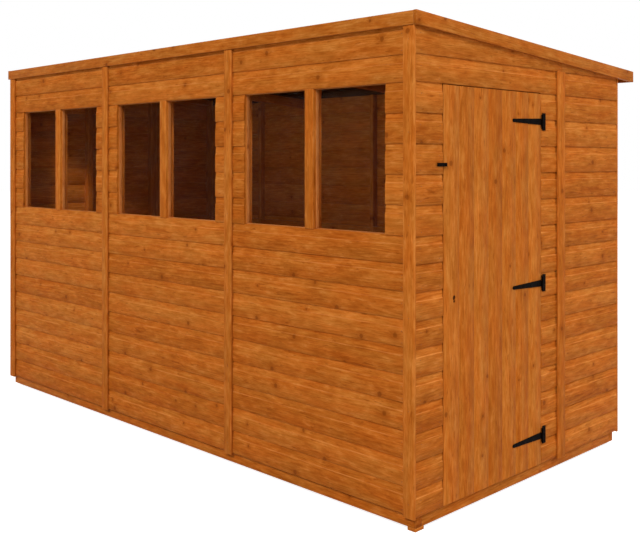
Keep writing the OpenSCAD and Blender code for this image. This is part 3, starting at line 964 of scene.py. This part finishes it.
def heads(name, spots, radius, height, body, slot, material, cross=False):
    """One piece of nail or screw heads, at (place, outward direction)."""
    bm = bmesh.new()
    for place, out in spots:
        add_head(bm, place, out, radius, height, cross)
    mesh = bpy.data.meshes.new(name)
    bm.to_mesh(mesh)
    bm.free()
    return finish_piece(name, mesh, body, slot, material)


NAIL_R = 1.9 * MM
NAIL_RISE = 0.5 * MM
# A board has one nail above its lip and one below its scoop, unless it is cut off lower than this
NAIL_ABOVE_LIP = 16 * MM
NAIL_BELOW_SCOOP = 12 * MM
NAILED_BOARD_H = 60 * MM
# Nails stray sideways from the middle of a stud, and none is this near the roof
NAIL_DRIFT = 4 * MM
NAIL_BELOW_ROOF = 15 * MM

# Studs, the way out of their wall, and the cladding nailed to them
NAILED_WALLS = (
    ("front_studs", -Y, ("front_lower_cladding", "front_upper_cladding")),
    ("back_studs", Y, ("back_cladding",)),
    ("left_end_studs", -X, ("left_end_cladding",)),
    ("right_end_studs", X, ("end_panel_cladding", "over_door_cladding", "door_side_cladding")),
)


def nail_heights(lowest, highest):
    """The heights of the nails in each board of a slab."""
    lines = board_lines()
    heights = []
    for foot, top in zip(lines, lines[1:]):
        if foot > lowest.z - MM and foot + NAILED_BOARD_H < highest.z:
            heights += [foot + NAIL_ABOVE_LIP, top - SCOOP_H - NAIL_BELOW_SCOOP]
    return heights


def slab_nails(lowest, highest, studs, out):
    """Nails through the boards of one slab, at each stud behind it."""
    along = Z.cross(out)
    ends = sorted((lowest.dot(along), highest.dot(along)))
    face = out * (max(lowest.dot(out), highest.dot(out)) - SINK / 2)
    heights = nail_heights(lowest, highest)
    spots = []
    for stud in studs:
        place = stud.dot(along)
        if ends[0] < place < ends[1]:
            for z in heights:
                drift = rng.uniform(-NAIL_DRIFT, NAIL_DRIFT)
                spots.append((along * (place + drift) + face + Z * z, out))
    return spots


def cladding_nails():
    """Two nails through each board at each stud behind it, up to the roof."""
    spots = []
    for stud_node, out, clad_nodes in NAILED_WALLS:
        studs = [(lowest + highest) / 2 for lowest, highest in slabs(stud_node)]
        for clad_node in clad_nodes:
            for lowest, highest in slabs(clad_node):
                spots += slab_nails(lowest, highest, studs, out)
    under_roof = [(spot, out) for spot, out in spots
                  if (spot - roof_foot).dot(roof_up) < -NAIL_BELOW_ROOF]
    heads("cladding_nails", under_roof, NAIL_R, NAIL_RISE, "building", "cladding", nail_metal)


STRIP_NAIL_COUNT = 6
STRIP_NAIL_MARGIN = 60 * MM
NAILED_STRIPS = (("front_joint_strips", -Y), ("front_corner_strips", -Y),
                 ("back_joint_strips", Y), ("back_corner_strips", Y),
                 ("left_end_strip", -X), ("right_end_strip", X))


def strip_nails():
    """Nails at even steps up the middle of each cover strip."""
    spots = []
    for strip_node, out in NAILED_STRIPS:
        for lowest, highest in slabs(strip_node):
            middle = (lowest + highest) / 2
            face = out * max(lowest.dot(out), highest.dot(out))
            sideways = middle - out * middle.dot(out)
            first = lowest.z + STRIP_NAIL_MARGIN
            step = (highest.z - STRIP_NAIL_MARGIN - first) / (STRIP_NAIL_COUNT - 1)
            for i in range(STRIP_NAIL_COUNT):
                spots.append((Vector((sideways.x, sideways.y, first + i * step)) + face, out))
    heads("strip_nails", spots, NAIL_R, NAIL_RISE, "building", "trim", nail_metal)


CLOUT_R = 4.5 * MM
CLOUT_RISE = 0.8 * MM
CLOUT_MARGIN = 18 * MM
CLOUT_PITCH = 100 * MM


def even_steps(start, end):
    """Places from start to end, about a clout nail's pitch apart."""
    count = int((end - start) / CLOUT_PITCH)
    return [start + (end - start) * i / count for i in range(count + 1)]


def felt_nails():
    """Clout nails along the lap and round the edges of the felt."""
    lowest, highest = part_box("roof_felt")
    x0 = lowest.x + CLOUT_MARGIN
    x1 = highest.x - CLOUT_MARGIN
    y0 = lowest.y + CLOUT_MARGIN
    y1 = highest.y - CLOUT_MARGIN
    lap_y = felt_lap_y - CLOUT_MARGIN
    places = []
    for x in even_steps(x0, x1):
        places += [(x, y0), (x, lap_y), (x, y1)]
    for y in even_steps(y0, y1)[1:-1]:
        places += [(x0, y), (x1, y)]
    spots = []
    for x, y in places:
        layers = 2 if felt_lap_y - FELT_LAP < y < felt_lap_y else 1
        spots.append((Vector((x, y, felt_foot(y) + layers * FELT_T)), roof_up))
    heads("felt_nails", spots, CLOUT_R, CLOUT_RISE, "building", "ironwork", iron)


SCREW_R = 3.6 * MM
SCREW_RISE = 1.3 * MM
# Thickness of the straps and plates
IRON_T = 3 * MM
# The screws' places: shares of a strap's length from its knuckle to its tip at -Y, and of a
# plate's height from its middle
STRAP_SCREWS = (-0.18, -0.42, -0.66, -0.88)
PLATE_SCREWS = (-0.36, 0.0, 0.36)
PLATE_SCREW_FROM_EDGE = 12 * MM


def hinge_screws():
    """Screws along each strap and down each plate."""
    strap_spots = []
    for lowest, highest in slabs("hinge_straps"):
        middle_z = (lowest.z + highest.z) / 2
        length = highest.y - lowest.y
        for share in STRAP_SCREWS:
            y = highest.y + share * length
            strap_spots.append((Vector((lowest.x + IRON_T, y, middle_z)), X))
    heads("strap_screws", strap_spots, SCREW_R, SCREW_RISE, "door", "ironwork", iron, cross=True)

    plate_spots = []
    for lowest, highest in slabs("hinge_plates"):
        middle_z = (lowest.z + highest.z) / 2
        height = highest.z - lowest.z
        y = highest.y - PLATE_SCREW_FROM_EDGE
        for share in PLATE_SCREWS:
            z = middle_z + share * height
            plate_spots.append((Vector((lowest.x + IRON_T, y, z)), X))
    heads("plate_screws", plate_spots, SCREW_R, SCREW_RISE, "building", "ironwork", iron,
          cross=True)


cladding_nails()
strip_nails()
felt_nails()
hinge_screws()


# ---- CAD nodes that stay: glass and ironwork ---------------------------

def dress(node_name, material):
    """Gives a CAD node that stays its material."""
    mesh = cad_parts[node_name].data
    mesh.materials.clear()
    mesh.materials.append(material)


dress("window_glass", glass)
for iron_node in ("hinge_straps", "hinge_plates", "turn_button", "button_pivot"):
    dress(iron_node, iron)


# ---- Stage, light and camera -------------------------------------------

# Light from all round, and the floor: its paint, and the glow that makes it meet the white
AMBIENT = 0.36
FLOOR_GREY = 0.6
FLOOR_GLOW = 0.82
FLOOR_REACH = 40


def behind_everything(tree):
    """1 for rays that see the background itself: from the camera, a gloss or a clear glass."""
    path = node(tree, "LightPath")
    seen = calc(tree, "ADD", path.outputs["Is Camera Ray"], path.outputs["Is Glossy Ray"])
    return calc(tree, "ADD", seen, path.outputs["Is Transmission Ray"], clamp=True)


def white_world():
    """A soft light from all round, seen as white."""
    world = bpy.data.worlds.new("studio")
    bpy.context.scene.world = world
    world.use_nodes = True
    tree = world.node_tree
    tree.nodes.clear()
    soft = node(tree, "Background", {"Color": (1, 1, 1, 1), "Strength": AMBIENT})
    white = node(tree, "Background", {"Color": (1, 1, 1, 1), "Strength": 1.0})
    both = node(tree, "MixShader", {0: behind_everything(tree), 1: soft.outputs[0],
                                    2: white.outputs[0]})
    node(tree, "OutputWorld", {"Surface": both.outputs[0]})


def pale_floor():
    """A pale floor that keeps the object's shadow and meets the white background."""
    material, tree = new_tree("studio_floor")
    paint = node(tree, "BsdfDiffuse", {"Color": (FLOOR_GREY, FLOOR_GREY, FLOOR_GREY, 1)})
    glow = node(tree, "Emission", {"Color": (1, 1, 1, 1),
                                   "Strength": calc(tree, "MULTIPLY", behind_everything(tree),
                                                    FLOOR_GLOW)})
    both = node(tree, "AddShader", {0: paint.outputs[0], 1: glow.outputs[0]})
    close_tree(tree, both.outputs[0])
    mesh = bpy.data.meshes.new("studio_floor")
    corners = [(x * FLOOR_REACH, y * FLOOR_REACH, 0)
               for x, y in ((-1, -1), (1, -1), (1, 1), (-1, 1))]
    mesh.from_pydata(corners, [], [(0, 1, 2, 3)])
    mesh.materials.append(material)
    floor = bpy.data.objects.new("studio_floor", mesh)
    bpy.context.scene.collection.objects.link(floor)


def soft_lamp(name, place, aim, width, height, watts):
    """A rectangular lamp that the camera doesn't see."""
    lamp = bpy.data.lights.new(name, "AREA")
    lamp.shape = "RECTANGLE"
    lamp.size = width
    lamp.size_y = height
    lamp.energy = watts
    held = bpy.data.objects.new(name, lamp)
    held.visible_camera = False
    held.location = place
    held.rotation_euler = (Vector(aim) - Vector(place)).to_track_quat("-Z", "Y").to_euler()
    bpy.context.scene.collection.objects.link(held)


# Eye height, off the corner between the windowed side and the door end, looking level
EYE = (4.247, -3.868, 1.575)
EYE_HEADING = 0.7869
FOCAL_MM = 51.0
SENSOR_MM = 36.0
EYE_SHIFT = -0.1715


def corner_camera():
    """The camera that the object is seen through."""
    lens = bpy.data.cameras.new("camera")
    lens.lens = FOCAL_MM
    lens.sensor_width = SENSOR_MM
    lens.shift_y = EYE_SHIFT
    held = bpy.data.objects.new("camera", lens)
    held.location = EYE
    held.rotation_euler = (math.pi / 2, 0, EYE_HEADING)
    bpy.context.scene.collection.objects.link(held)
    bpy.context.scene.camera = held


white_world()
pale_floor()
# Large far lamps for the windowed side, the door end, and the back with the left end
soft_lamp("front_lamp", (18.0, -37.1, 31.0), (0, -0.9, 1.0), 12, 12, 16550)
soft_lamp("end_lamp", (34.2, 20.0, 27.0), (1.8, 0, 1.0), 12, 12, 9450)
soft_lamp("back_lamp", (-15.0, 13.0, 12.0), (-1.0, 0.5, 1.0), 6, 6, 2050)
# A long narrow lamp inside the windowed wall, so that the room behind the panes isn't black
room_y = low("front_studs").y + 0.2
soft_lamp("room_lamp", (0.45, room_y, 1.9), (0.45, 0.88, -0.6), 2.3, 0.2, 6.3)
corner_camera()
bpy.context.scene.view_settings.view_transform = "Standard"
